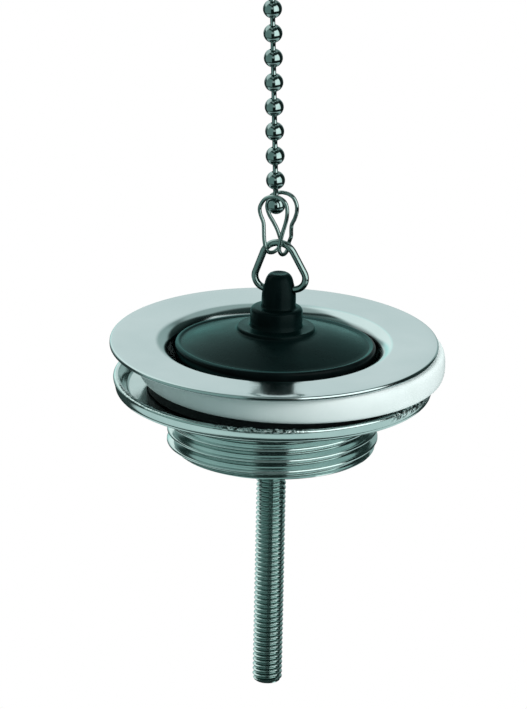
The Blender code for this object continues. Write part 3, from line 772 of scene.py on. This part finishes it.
def flange_outline():
    """The pressing's section: flat flange, rolled lip, tapered seat and strainer floor."""
    taper = math.radians(SEAT_TAPER)
    roll_end = 180 - SEAT_TAPER
    lip = (LIP_CENTRE, -LIP_ROLL)
    seat_top = (lip[0] - LIP_ROLL * math.cos(taper), lip[1] + LIP_ROLL * math.sin(taper))
    fillet_height = -DISH_DEPTH + DISH_FILLET
    foot_height = fillet_height - DISH_FILLET * math.sin(taper)
    foot_radius = seat_top[0] - (seat_top[1] - foot_height) * math.tan(taper)
    fillet = (foot_radius - DISH_FILLET * math.cos(taper), fillet_height)
    upper_edge, lower_edge, chamfer = 0.35, 0.2, 0.12
    # The upper side, from the screw's hole out to the rim
    outline = [(SCREW_HOLE_RADIUS, -DISH_DEPTH - chamfer)]
    outline += [(SCREW_HOLE_RADIUS + chamfer, -DISH_DEPTH)]
    outline += [(6.5, -DISH_DEPTH), (15.0, -DISH_DEPTH)]
    outline += arc(fillet, DISH_FILLET, -90, -SEAT_TAPER, 14)
    outline += between((foot_radius, foot_height), seat_top)
    outline += arc(lip, LIP_ROLL, roll_end, 90, 26)
    outline += [(25.5, 0), (28.0, 0), (30.5, 0)]
    outline += arc((FLANGE_RADIUS - upper_edge, -upper_edge), upper_edge, 90, 0, 5)
    # The underside, back to the hole
    outline += arc((FLANGE_RADIUS - lower_edge, -SHEET + lower_edge), lower_edge, 0, -90, 3)
    outline += [(30.5, -SHEET), (28.0, -SHEET)]
    outline += arc(lip, LIP_ROLL - SHEET, 90, roll_end, 16)
    outline += arc(fillet, DISH_FILLET + SHEET, -SEAT_TAPER, -90, 10)
    outline += [(15.0, -DISH_DEPTH - SHEET), (6.5, -DISH_DEPTH - SHEET)]
    outline += [(SCREW_HOLE_RADIUS, -DISH_DEPTH - SHEET)]
    return outline


def make_flange(finish):
    """The pressing, with strainer holes whose upper edges are rounded over."""
    flange = turned("flange_plate", flange_outline(), 256)
    low, high = -DISH_DEPTH - SHEET, -DISH_DEPTH
    flare, clear, beyond = 0.25, 0.3, 2
    mouth = STRAINER_HOLE_RADIUS + flare
    outline = [(0, high + beyond), (mouth + clear, high + beyond), (mouth + clear, high + clear)]
    outline += arc((mouth, high - flare), flare, 90, 180, 5)
    outline += [(STRAINER_HOLE_RADIUS, low - beyond), (0, low - beyond)]
    reach = STRAINER_CIRCLE * MM
    holes = []
    for i in range(STRAINER_HOLES):
        angle = TAU * i / STRAINER_HOLES
        where = Matrix.Translation((reach * math.cos(angle), reach * math.sin(angle), 0))
        holes.append(turned(f"cutter_{i}", outline, 64, False, where))
    cut(flange, holes)
    dress(flange, finish, "flange", "polished_chrome", "top_flange")


def screw_thread_radius(share, heights):
    """A rolled V thread, rounded over at the screw's end."""
    root, flank = 0.14, 0.72
    wave = np.abs(share - 0.5) * 2
    crest = np.clip((wave - root) / flank, 0, 1)
    radius = SCREW_RADIUS - SCREW_THREAD_DEPTH * (1 - crest**1.1)
    end = SCREW_SEAT - SCREW_LENGTH
    above = np.clip((heights - end) / SCREW_END_ROUND, 0, 1)
    cap = SCREW_RADIUS - SCREW_END_ROUND * (1 - np.sqrt(1 - (1 - above) ** 2))
    return np.minimum(radius, cap)


def make_screw(finish):
    """A slotted pan head on a threaded shank."""
    top = SCREW_SEAT + HEAD_HEIGHT
    end = SCREW_SEAT - SCREW_LENGTH
    shoulder, shoulder_drop, foot, neck = 1.3, 1.45, 0.25, 0.9
    head = [(0, top), (2.0, top - 0.05)]
    head += arc((HEAD_RADIUS - shoulder, top - shoulder_drop), shoulder, 78, 0, 8)
    head += arc((HEAD_RADIUS - foot, SCREW_SEAT + foot), foot, 0, -90, 3)
    head += [(3.6, SCREW_SEAT), (2.85, SCREW_SEAT - 0.25)]
    thread = (SCREW_SEAT - neck, end, SCREW_PITCH, 10, screw_thread_radius)
    screw = threaded("screw_body", head, thread, [(0.8, end), (0, end)], 56, 60)

    slot_box = bpy.data.objects.new("slot_cutter", bpy.data.meshes.new("slot_cutter"))
    shape = bmesh.new()
    size = Vector((2 * HEAD_RADIUS + 2, SLOT_WIDTH, 2 * SLOT_DEPTH)) * MM
    bmesh.ops.create_cube(shape, size=1, matrix=Matrix.Diagonal((*size, 1)))
    bmesh.ops.translate(shape, vec=(0, 0, top * MM), verts=shape.verts)
    shape.to_mesh(slot_box.data)
    shape.free()
    bpy.context.scene.collection.objects.link(slot_box)
    cut(screw, [slot_box], 50)
    dress(screw, finish, "screw", "zinc_steel", "clamp_screw")


def make_washer(finish):
    """Thick ring with a bulged side, its corners rounded over."""
    middle = (WASHER_TOP + WASHER_BOTTOM) / 2
    half = (WASHER_TOP - WASHER_BOTTOM) / 2
    flat, upper_edge, lower_edge = 28.8, 0.9, 0.3
    steps = 22
    outline = [(WASHER_BORE + upper_edge, WASHER_TOP), (27.5, WASHER_TOP), (28.6, WASHER_TOP)]
    for i in range(steps + 1):
        angle = math.pi / 2 - math.pi * i / steps
        bulge = abs(math.cos(angle)) ** 0.42
        rise = math.copysign(abs(math.sin(angle)) ** 0.9, math.sin(angle))
        outline.append((flat + (WASHER_RADIUS - flat) * bulge, middle + half * rise))
    outline += [(28.6, WASHER_BOTTOM), (27.5, WASHER_BOTTOM)]
    outline += arc((WASHER_BORE + lower_edge, WASHER_BOTTOM + lower_edge), lower_edge, 270, 180, 3)
    outline += arc((WASHER_BORE + upper_edge, WASHER_TOP - upper_edge), upper_edge, 180, 90, 5)[:-1]
    washer = turned("washer_ring", outline, 256, centre=(WASHER_SHIFT, 0))
    dress(washer, finish, "tail", "white_plastic", "sealing_washer")


def make_gasket(finish):
    """A thin flat ring, rounded a little at its corners."""
    corners = [
        (GASKET_RADIUS, GASKET_TOP),
        (GASKET_RADIUS, GASKET_BOTTOM),
        (GASKET_BORE, GASKET_BOTTOM),
        (GASKET_BORE, GASKET_TOP),
    ]
    gasket = turned("gasket_ring", rounded(corners, 0.25), 192, centre=(GASKET_SHIFT, 0))
    dress(gasket, finish, "tail", "gasket_rubber", "cup_gasket")


def collar_thread_radius(share, heights):
    """A Whitworth thread with rounded crests, chamfered at both of its ends."""
    root, flank = 0.12, 0.72
    wave = np.abs(share - 0.5) * 2
    slope = np.clip((wave - root) / flank, 0, 1)
    crest = slope * slope * (3 - 2 * slope) * 0.35 + slope * 0.65
    radius = THREAD_RADIUS - THREAD_DEPTH * (1 - crest)
    # The chamfers' depths at the thread's ends, and their slopes
    foot = THREAD_RADIUS - 0.9 + (heights - TAIL_END) * 0.9
    start = THREAD_RADIUS - 0.6 + (THREAD_TOP - heights) * 1.4
    return np.minimum(radius, np.minimum(foot, start))


def rim_noise(grid, angles):
    """Roughens the cup's rim, most where the photograph shows the plating's crust."""
    rng = np.random.default_rng(7)
    columns, rows, _ = grid.shape
    radius = np.hypot(grid[:, :, 0], grid[:, :, 1])
    height = grid[:, :, 2]
    reach, inward = 0.55, 0.2
    near = np.clip(1 - np.abs(height - CUP_RIM) / reach, 0, 1)
    near = near * (radius > CUP_RIM_INNER - inward)
    rough = rng.normal(0, 1, (columns, rows))
    rough = (np.roll(rough, 1, 0) + 2 * rough + np.roll(rough, -1, 0)) / 3

    def stretch(degrees, width):
        return np.exp(-(((np.degrees(angles) - degrees % 360) / width) ** 2))

    heavy = stretch(CRUST_FRONT, 15) + stretch(CRUST_RIGHT, 16)
    light = stretch(CRUST_LEFT, 14)
    heavy_depth, light_depth, plain_depth, sink, pull = 0.09, 0.03, 0.006, 0.02, 0.02
    amount = (heavy_depth * heavy + light_depth * light + plain_depth)[:, None] * near
    grid[:, :, 2] += rough * amount - sink * near
    shift = 1 - np.abs(rough) * amount * pull
    grid[:, :, 0] *= shift
    grid[:, :, 1] *= shift
    return grid


def make_tail(finish):
    """Cup, hub and collar as one turned casting with a true right-hand thread."""
    # The cup's rim, side and underside, then the hub above the thread
    rim_round = 0.5
    above = [(CUP_RIM_INNER, CUP_RIM - 0.25), (CUP_RIM_INNER + 0.15, CUP_RIM - 0.05)]
    above += [(CUP_RIM_INNER + 0.4, CUP_RIM), (CUP_RIM_INNER + 0.7, CUP_RIM)]
    above += arc((CUP_RIM_RADIUS - rim_round, CUP_RIM - rim_round), rim_round, 90, -17, 6)
    above += [(31.75, -8.37), (31.6, -8.86), (31.45, -9.35)]
    above += arc((30.75, -9.5), 0.7, 5, -78, 6)
    above += [(28.5, -10.45), (25.5, -11.1)]
    above += arc((22.3, -11.0), 1.2, -80, -90, 2)
    above += [(21.4, HUB_BOTTOM), (20.3, -12.32)]
    # The bore, then the cup's inside
    below = [(COLLAR_BORE + 0.45, TAIL_END)]
    below += [(COLLAR_BORE, TAIL_END + 0.35), (COLLAR_BORE, -18.0), (COLLAR_BORE, -13.6)]
    below += arc((COLLAR_BORE + 1.2, -13.3), 1.2, 180, 140, 3)
    below += [(22.2, -9.85), (22.9, CUP_FLOOR), (25.0, CUP_FLOOR), (27.3, CUP_FLOOR)]
    below += arc((28.6, CUP_FLOOR + 0.7), 0.7, -90, -25, 4)
    below += [(29.8, -8.3), (30.35, -7.75)]
    thread = (THREAD_TOP, TAIL_END, THREAD_PITCH, 18, collar_thread_radius)
    tail = threaded("tail_casting", above, thread, below, 640, 50, rim_noise)
    dress(tail, finish, "tail", "cast_chrome", "tail_piece")


def make_bridge(finish):
    """Boss and three spokes inside the collar, blended together as a casting is."""
    side = [(0, BOSS_TOP), (BOSS_RADIUS, BOSS_TOP), (BOSS_RADIUS, BOSS_FOOT), (0, BOSS_FOOT)]
    boss = turned("tail_bridge", rounded(side, [0, 0.5, 0.5, 0], closed=False), 64, False)
    reach = COLLAR_BORE + 0.6
    middle = (BOSS_TOP + BOSS_FOOT) / 2
    shape = bmesh.new()
    shape.from_mesh(boss.data)
    for degrees in SPOKE_ANGLES:
        turn = Matrix.Rotation(math.radians(degrees), 4, "Z")
        move = Matrix.Translation((reach / 2 * MM, 0, middle * MM))
        size = Matrix.Diagonal((reach * MM, SPOKE_WIDTH * MM, SPOKE_HEIGHT * MM, 1))
        bmesh.ops.create_cube(shape, size=1, matrix=turn @ move @ size)
    shape.to_mesh(boss.data)
    shape.free()
    remesh = boss.modifiers.new("Blend", "REMESH")
    remesh.mode = "VOXEL"
    remesh.voxel_size = BRIDGE_VOXEL * MM
    soften = boss.modifiers.new("Soften", "SMOOTH")
    soften.factor = 0.5
    soften.iterations = 8
    apply_modifiers(boss, 60)
    cut(boss, [bore("bore_cutter", BOSS_BORE, BOSS_FOOT - 2, BOSS_TOP + 2)], 50)
    dress(boss, finish, "tail", "cast_chrome")


def plug_outline():
    """Knob, collar, step, crowned disc, bead at the rim, tapered skirt and hollow underside."""
    # Knob, with the dimple on its top
    outline = [(0, 14.7), (0.7, 14.71), (1.1, 14.77), (1.4, 14.86), (1.68, 14.84)]
    outline += [(2.02, 14.66), (2.32, 14.35), (2.57, 13.92), (2.76, 13.4), (2.92, 12.7)]
    outline += [(3.12, 12.0), (3.30, 11.3), (3.40, 10.5), (3.44, 9.6), (3.44, 8.5)]
    outline += [(3.47, 8.15), (3.60, 7.98)]
    # Collar and step
    outline += [(4.2, 7.9)]
    outline += arc((4.35, 7.05), 0.85, 78, 0, 6)
    outline += [(5.2, 6.0), (5.2, 5.0), (5.22, 4.2), (5.35, 3.98), (5.6, 3.9)]
    outline += [(7.3, 3.9)]
    outline += arc((7.5, 3.6), 0.3, 90, 0, 4)
    outline += [(7.8, 3.25), (7.95, 3.08)]
    # Crown, from the step out to the rim
    inner, outer, top, steps = 8.3, 18.6, 3.0, 12
    for i in range(steps + 1):
        t = i / steps
        outline.append((inner + (outer - inner) * t, top - (top - 0.05) * t**1.25))
    # Bead at the rim
    outline += [(18.85, 0.05), (19.05, 0.16), (19.3, 0.3), (19.6, 0.27), (19.85, 0.05)]
    outline += [(19.98, -0.25), (20.0, -0.6)]
    # Skirt, then the hollow underside
    foot = 17.95
    outline += [(19.66, -2.0), (19.15, -4.0), (18.63, -6.0), (foot + 0.1, -8.3), (foot, -8.6)]
    outline += [(foot - 1.8, -8.6), (foot - 1.9, -8.3)]
    outline += [(17.0, -3.4), (16.6, -2.6), (15.8, -2.1)]
    outline += [(7.8, 1.2), (0, 1.2)]
    return outline


def plug_place():
    """Where the plug lies in its seat, tipped about X and tilted about Y."""
    turn = Matrix.Rotation(PLUG_TIP, 4, "X") @ Matrix.Rotation(PLUG_TILT, 4, "Y")
    return Matrix.Translation((PLUG_SHIFT * MM, 0, -PLUG_SINK * MM)) @ turn


def shift_knob(grid, _):
    """Moves the knob to where it stands on the plug's collar, a little off centre."""
    grid[:, :, 0] += np.where(grid[:, :, 2] > KNOB_FOOT, KNOB_SHIFT, 0)
    return grid


def make_plug(finish):
    """The moulding, bored through the knob for the ring's two feet."""
    where = plug_place()
    plug = turned("plug_moulding", plug_outline(), 224, False, where, shape=shift_knob)
    middle = where @ Vector((KNOB_SHIFT * MM, 0, KNOB_HOLE_HEIGHT * MM))
    across = place(middle, RING_LEAN, RING_YAW) @ Matrix.Rotation(math.pi / 2, 4, "Y")
    cut(plug, [bore("knob_cutter", RING_WIRE + KNOB_HOLE_CLEARANCE, -6, 6, 40, across)])
    dress(plug, finish, "plug", "plug_rubber", "plug")


def ring_path():
    """One side of the ring from its foot in the knob to the apex, mirrored to the other foot."""
    corner = Vector((RING_HALF_WIDTH - RING_CORNER, RING_CORNER))
    apex = Vector((0, RING_HEIGHT - RING_APEX))
    run = apex - corner
    side = math.degrees(math.atan2(run.y, run.x))
    side -= math.degrees(math.acos((RING_CORNER - RING_APEX) / run.length))
    half = [(RING_FOOT_GAP / 2, 0), (1.2, 0), (2.2, 0)]
    half += arc(corner, RING_CORNER, -90, side, 16)
    top = arc(apex, RING_APEX, side, 90, 16)
    half += between(half[-1], top[0]) + top
    path = [Vector((x, 0, z)) for x, z in half]
    return path + [Vector((-p.x, 0, p.z)) for p in reversed(path[:-1])]


def clasp_hook():
    """The hook's depth under the ring's wire, to the clasp wire's centre."""
    return RING_WIRE + CLASP_WIRE + CLASP_HOOK_CLEARANCE


def clasp_loop(outline, side):
    """One loop's points from its left foot to its right, nearer the bead towards the top."""
    splay = clasp_hook() + CLASP_HOOK_SPLAY
    points = []
    for across, up in outline:
        out = splay + (CLASP_SPREAD - splay) * up
        points.append(Vector((across * CLASP_HALF_WIDTH, side * out, up * CLASP_HEIGHT)))
    return points


def clasp_turn(start, end):
    """A hook's points between two feet, round under the ring's wire."""
    steps = 6
    points = []
    for i in range(1, steps):
        angle = math.pi * i / steps
        point = start.lerp(end, (1 - math.cos(angle)) / 2)
        points.append(point + Vector((0, 0, -clasp_hook() * math.sin(angle))))
    return points


def clasp_path():
    """Front loop, hook under the ring, back loop, hook under the ring, closed."""
    front = clasp_loop(CLASP_FRONT, -1)
    back = clasp_loop(CLASP_BACK, 1)
    path = front + clasp_turn(front[-1], back[-1])
    path += back[::-1] + clasp_turn(back[0], front[0])
    return smooth_through([path[-1], *path, *path[:2]], 6)[:-1]


def bead_outline():
    """A hollow ball open at both poles, with a small rolled lip at each hole."""
    lip_width, lip_depth = 0.06, 0.07
    opening = math.degrees(math.acos((BEAD_HOLE + lip_width) / BEAD_RADIUS))
    inner = BEAD_RADIUS - BEAD_WALL
    inside = math.degrees(math.acos(BEAD_HOLE / inner))
    outline = arc((0, 0), BEAD_RADIUS, opening, -opening, 22)
    low = -BEAD_RADIUS * math.sin(math.radians(opening))
    outline += [(BEAD_HOLE, low + lip_depth)]
    outline += arc((0, 0), inner, -inside, inside, 10)
    outline += [(BEAD_HOLE, -low - lip_depth)]
    return outline


def rod_outline():
    """A rod with a round head at each end, its lower ball's centre at the origin."""
    neck = math.degrees(math.acos(ROD_RADIUS / ROD_HEAD_RADIUS))
    low, high = ROD_HEAD_SETBACK, BEAD_PITCH - ROD_HEAD_SETBACK
    outline = arc((0, high), ROD_HEAD_RADIUS, 90, -neck, 8)
    outline += arc((0, low), ROD_HEAD_RADIUS, neck, -90, 8)
    outline[0] = (0, high + ROD_HEAD_RADIUS)
    outline[-1] = (0, low - ROD_HEAD_RADIUS)
    return outline


def joint_place(name):
    """A joint's point in the row frame, in metres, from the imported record."""
    found = next(j for j in frame["joints"] if j["name"] == name)
    return Vector(found["pos_m"])


def make_pull(steel, chrome):
    """Ring, clasp, chain, end clasp and end ring, each where its solid is."""
    where = place(joint_place("ring_swing"), RING_LEAN, RING_YAW)
    ring = tube("ring_wire", ring_path(), RING_WIRE, False, 24, where)
    dress(ring, steel, "plug_ring", "steel_wire", "plug_ring")

    where = place(joint_place("clasp_swing"), CLASP_LEAN, CLASP_YAW)
    clasp = tube("clasp_wire", clasp_path(), CLASP_WIRE, True, 14, where)
    dress(clasp, steel, "chain_clasp", "steel_wire", "chain_clasp")

    foot = place(joint_place("bead_01_swing"), CHAIN_LEAN, CLASP_YAW)
    for i in range(BEADS):
        here = foot @ Matrix.Translation((0, 0, i * BEAD_PITCH * MM))
        body = f"bead_{i + 1:02d}"
        ball = turned(f"ball_{i + 1:02d}", bead_outline(), 40, True, here)
        dress(ball, chrome, body, "bead_chrome", body)
        if i < BEADS - 1:
            link = turned(f"rod_{i + 1:02d}", rod_outline(), 20, False, here)
            dress(link, chrome, body, "bead_chrome", f"link_{i + 1:02d}")

    top = foot @ Matrix.Translation((0, 0, (BEADS - 1) * BEAD_PITCH * MM))
    fold = top @ Matrix.Translation((0, 0, CLASP_BEAD_HEIGHT * MM))
    over = fold @ Matrix.Rotation(math.pi, 4, "X")
    end_clasp = tube("end_clasp_wire", clasp_path(), CLASP_WIRE, True, 14, over)
    dress(end_clasp, steel, "end_clasp", "steel_wire", "end_clasp")

    steps = 96
    angles = [TAU * i / steps for i in range(steps)]
    circle = [Vector((math.sin(a), 0, 1 - math.cos(a))) * END_RING_RADIUS for a in angles]
    end_ring = tube("end_ring_wire", circle, END_RING_WIRE, True, 20, fold)
    dress(end_ring, steel, "end_ring", "steel_wire", "end_ring")


# Studio


def make_camera():
    """The photograph's view, from straight ahead and a little above."""
    data = bpy.data.cameras.new("camera")
    data.sensor_width = SENSOR
    data.lens = PIXELS_PER_MM / MM * CAMERA_DISTANCE * SENSOR / IMAGE_HEIGHT
    data.clip_start, data.clip_end = 0.05, 50
    camera = bpy.data.objects.new("camera", data)
    bpy.context.scene.collection.objects.link(camera)
    ahead = Vector((0, math.cos(CAMERA_ELEVATION), -math.sin(CAMERA_ELEVATION)))
    flat_up = Vector((0, math.sin(CAMERA_ELEVATION), math.cos(CAMERA_ELEVATION)))
    flat_right = Vector((1, 0, 0))
    right = flat_right * math.cos(CAMERA_ROLL) + flat_up * math.sin(CAMERA_ROLL)
    up = flat_up * math.cos(CAMERA_ROLL) - flat_right * math.sin(CAMERA_ROLL)
    offset = (right * ORIGIN_OFFSET[0] + up * ORIGIN_OFFSET[1]) / PIXELS_PER_MM * MM
    turn = Matrix((right, up, -ahead)).transposed().to_4x4()
    camera.matrix_world = Matrix.Translation(-ahead * CAMERA_DISTANCE - offset) @ turn
    bpy.context.scene.camera = camera


def make_world():
    """White behind the object; softer studio panels and dark gaps in what metal reflects."""
    world = bpy.data.worlds.new("studio")
    bpy.context.scene.world = world
    world.use_nodes = True
    world.node_tree.nodes.clear()
    n = Nodes(world.node_tree)
    ray = n.node("ShaderNodeLightPath").outputs
    direction = n.node("ShaderNodeTexCoord").outputs["Generated"]
    x, y, z = n.node("ShaderNodeSeparateXYZ", (direction,)).outputs
    turn = n.math("ARCTAN2", x, n.times(y, -1.0))
    over = n.math("MAXIMUM", n.plus(z, -LEAN_START), 0.0)
    axes = {
        "x": x,
        "y": y,
        "z": z,
        "bearing": n.times(turn, math.degrees(1)),
        "leaning": n.plus(x, n.times(over, -LEAN)),
    }

    def patch(edges):
        """The share of a direction that lies inside every edge."""
        shares = [n.fade(axes[axis], none, full) for axis, none, full in edges]
        share = shares[0]
        for other in shares[1:]:
            share = n.times(share, other)
        return share

    def background(colour, strength):
        return n.node("ShaderNodeBackground", (colour, strength)).outputs[0]

    def choose(share, first, second):
        return n.node("ShaderNodeMixShader", (share, first, second)).outputs[0]

    band = n.node("ShaderNodeValToRGB", (n.plus(n.math("DIVIDE", turn, TAU), 0.5),))
    band.color_ramp.interpolation = "EASE"
    stops = band.color_ramp.elements
    while len(stops) > 1:
        stops.remove(stops[-1])
    for i, (bearing, colour) in enumerate(HORIZON):
        at = bearing / 360 + 0.5
        stop = stops[0] if i == 0 else stops.new(at)
        stop.position = at
        stop.color = (*colour, 1)

    seen = n.mix(patch(WALLS), DIM, band.outputs["Color"])
    for name, (colour, edges) in PANELS.items():
        if name == "back":
            # Two levels, side by side
            colour = n.mix(patch(BACK_TEAL_EDGES), colour, BACK_TEAL)
        seen = n.mix(patch(edges), seen, colour)

    plain = background(PLAIN_LEVEL, PLAIN_STRENGTH)
    around = choose(ray["Is Glossy Ray"], plain, background(seen, 1))
    straight = n.math("MAXIMUM", ray["Is Camera Ray"], ray["Is Transmission Ray"])
    shown = choose(straight, around, background((1, 1, 1), 1))
    n.node("ShaderNodeOutputWorld", (shown,))


def make_floor():
    """A pale round floor well below the hanging part, fading to the white background."""
    rim = [TAU * i / FLOOR_STEPS for i in range(FLOOR_STEPS)]
    circle = [(FLOOR_RADIUS * math.cos(a), FLOOR_RADIUS * math.sin(a), FLOOR_HEIGHT) for a in rim]
    faces = [(0, 1 + i, 1 + (i + 1) % FLOOR_STEPS) for i in range(FLOOR_STEPS)]
    floor = mesh_object("floor", [(0, 0, FLOOR_HEIGHT), *circle], faces)
    f = Finish("pale floor", Roughness=0.8, Base_Color=(0.86, 0.87, 0.87))
    radius, _, _ = f.polar()
    ray = f.node("ShaderNodeLightPath").outputs
    seen = f.math("MAXIMUM", ray["Is Camera Ray"], ray["Is Glossy Ray"])
    share = f.times(seen, f.span(radius, *FLOOR_FADE, 0.55, 1.0, True))
    glow = f.node("ShaderNodeEmission").outputs[0]
    f.surface(f.node("ShaderNodeMixShader", (share, f.shader.outputs[0], glow)).outputs[0])
    floor.data.materials.append(f.material)


def make_table():
    """A pale ring under the hanging part that only shiny surfaces see."""
    table = turned("table", [(r, TABLE_HEIGHT) for r in TABLE_RADII], 96, False)
    f = Finish("table glow")
    radius, _, _ = f.polar()
    x, y, _ = f.split()
    middle = f.span(f.math("ABSOLUTE", x), *NOTCH_SIDE, NOTCH_DEPTH, 0, True)
    notch = f.times(middle, f.span(y, *NOTCH_END, 1, 0))
    inside = f.fade(f.math("SUBTRACT", radius, notch), *GLOW_INSIDE)
    squeezed = f.times(f.plus(x, -GLOW_SHIFT), GLOW_SQUEEZE)
    outside = f.fade(f.distance(squeezed, y), *GLOW_OUTSIDE)
    ring = f.mix(f.times(inside, outside), DIM, (0.70, 0.85, 0.84))
    f.surface(f.node("ShaderNodeEmission", (ring,)).outputs[0])
    table.data.materials.append(f.material)
    table.visible_camera = table.visible_diffuse = False
    table.visible_shadow = table.visible_transmission = False


def make_lamp(name, place_at, size, power):
    """A soft rectangular lamp that faces the origin and isn't mirrored in metal."""
    data = bpy.data.lights.new(name, "AREA")
    data.shape = "RECTANGLE"
    data.size, data.size_y = size
    data.energy = power
    light = bpy.data.objects.new(name, data)
    bpy.context.scene.collection.objects.link(light)
    light.location = place_at
    light.rotation_mode = "QUATERNION"
    light.rotation_quaternion = (-Vector(place_at)).to_track_quat("-Z", "Y")
    light.visible_glossy = False


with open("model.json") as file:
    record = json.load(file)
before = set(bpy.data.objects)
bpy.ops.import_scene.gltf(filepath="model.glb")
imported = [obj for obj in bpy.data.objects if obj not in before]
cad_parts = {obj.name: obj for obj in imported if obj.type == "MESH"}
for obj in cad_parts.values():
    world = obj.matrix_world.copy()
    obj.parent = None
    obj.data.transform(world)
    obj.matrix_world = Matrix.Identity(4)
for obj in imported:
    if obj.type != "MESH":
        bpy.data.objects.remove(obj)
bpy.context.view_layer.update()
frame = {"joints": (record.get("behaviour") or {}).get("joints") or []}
bpy.context.scene.view_settings.view_transform = "Standard"

plate = polished_chrome()
casting = cast_chrome()
balls = bead_chrome()
wire = steel_wire()
make_flange(plate)
make_screw(zinc_steel())
make_washer(white_plastic())
make_gasket(gasket_rubber())
make_tail(casting)
make_bridge(casting)
make_plug(plug_rubber())
make_pull(wire, balls)

make_camera()
make_world()
make_floor()
for lamp in LAMPS:
    make_lamp(*lamp)
make_table()
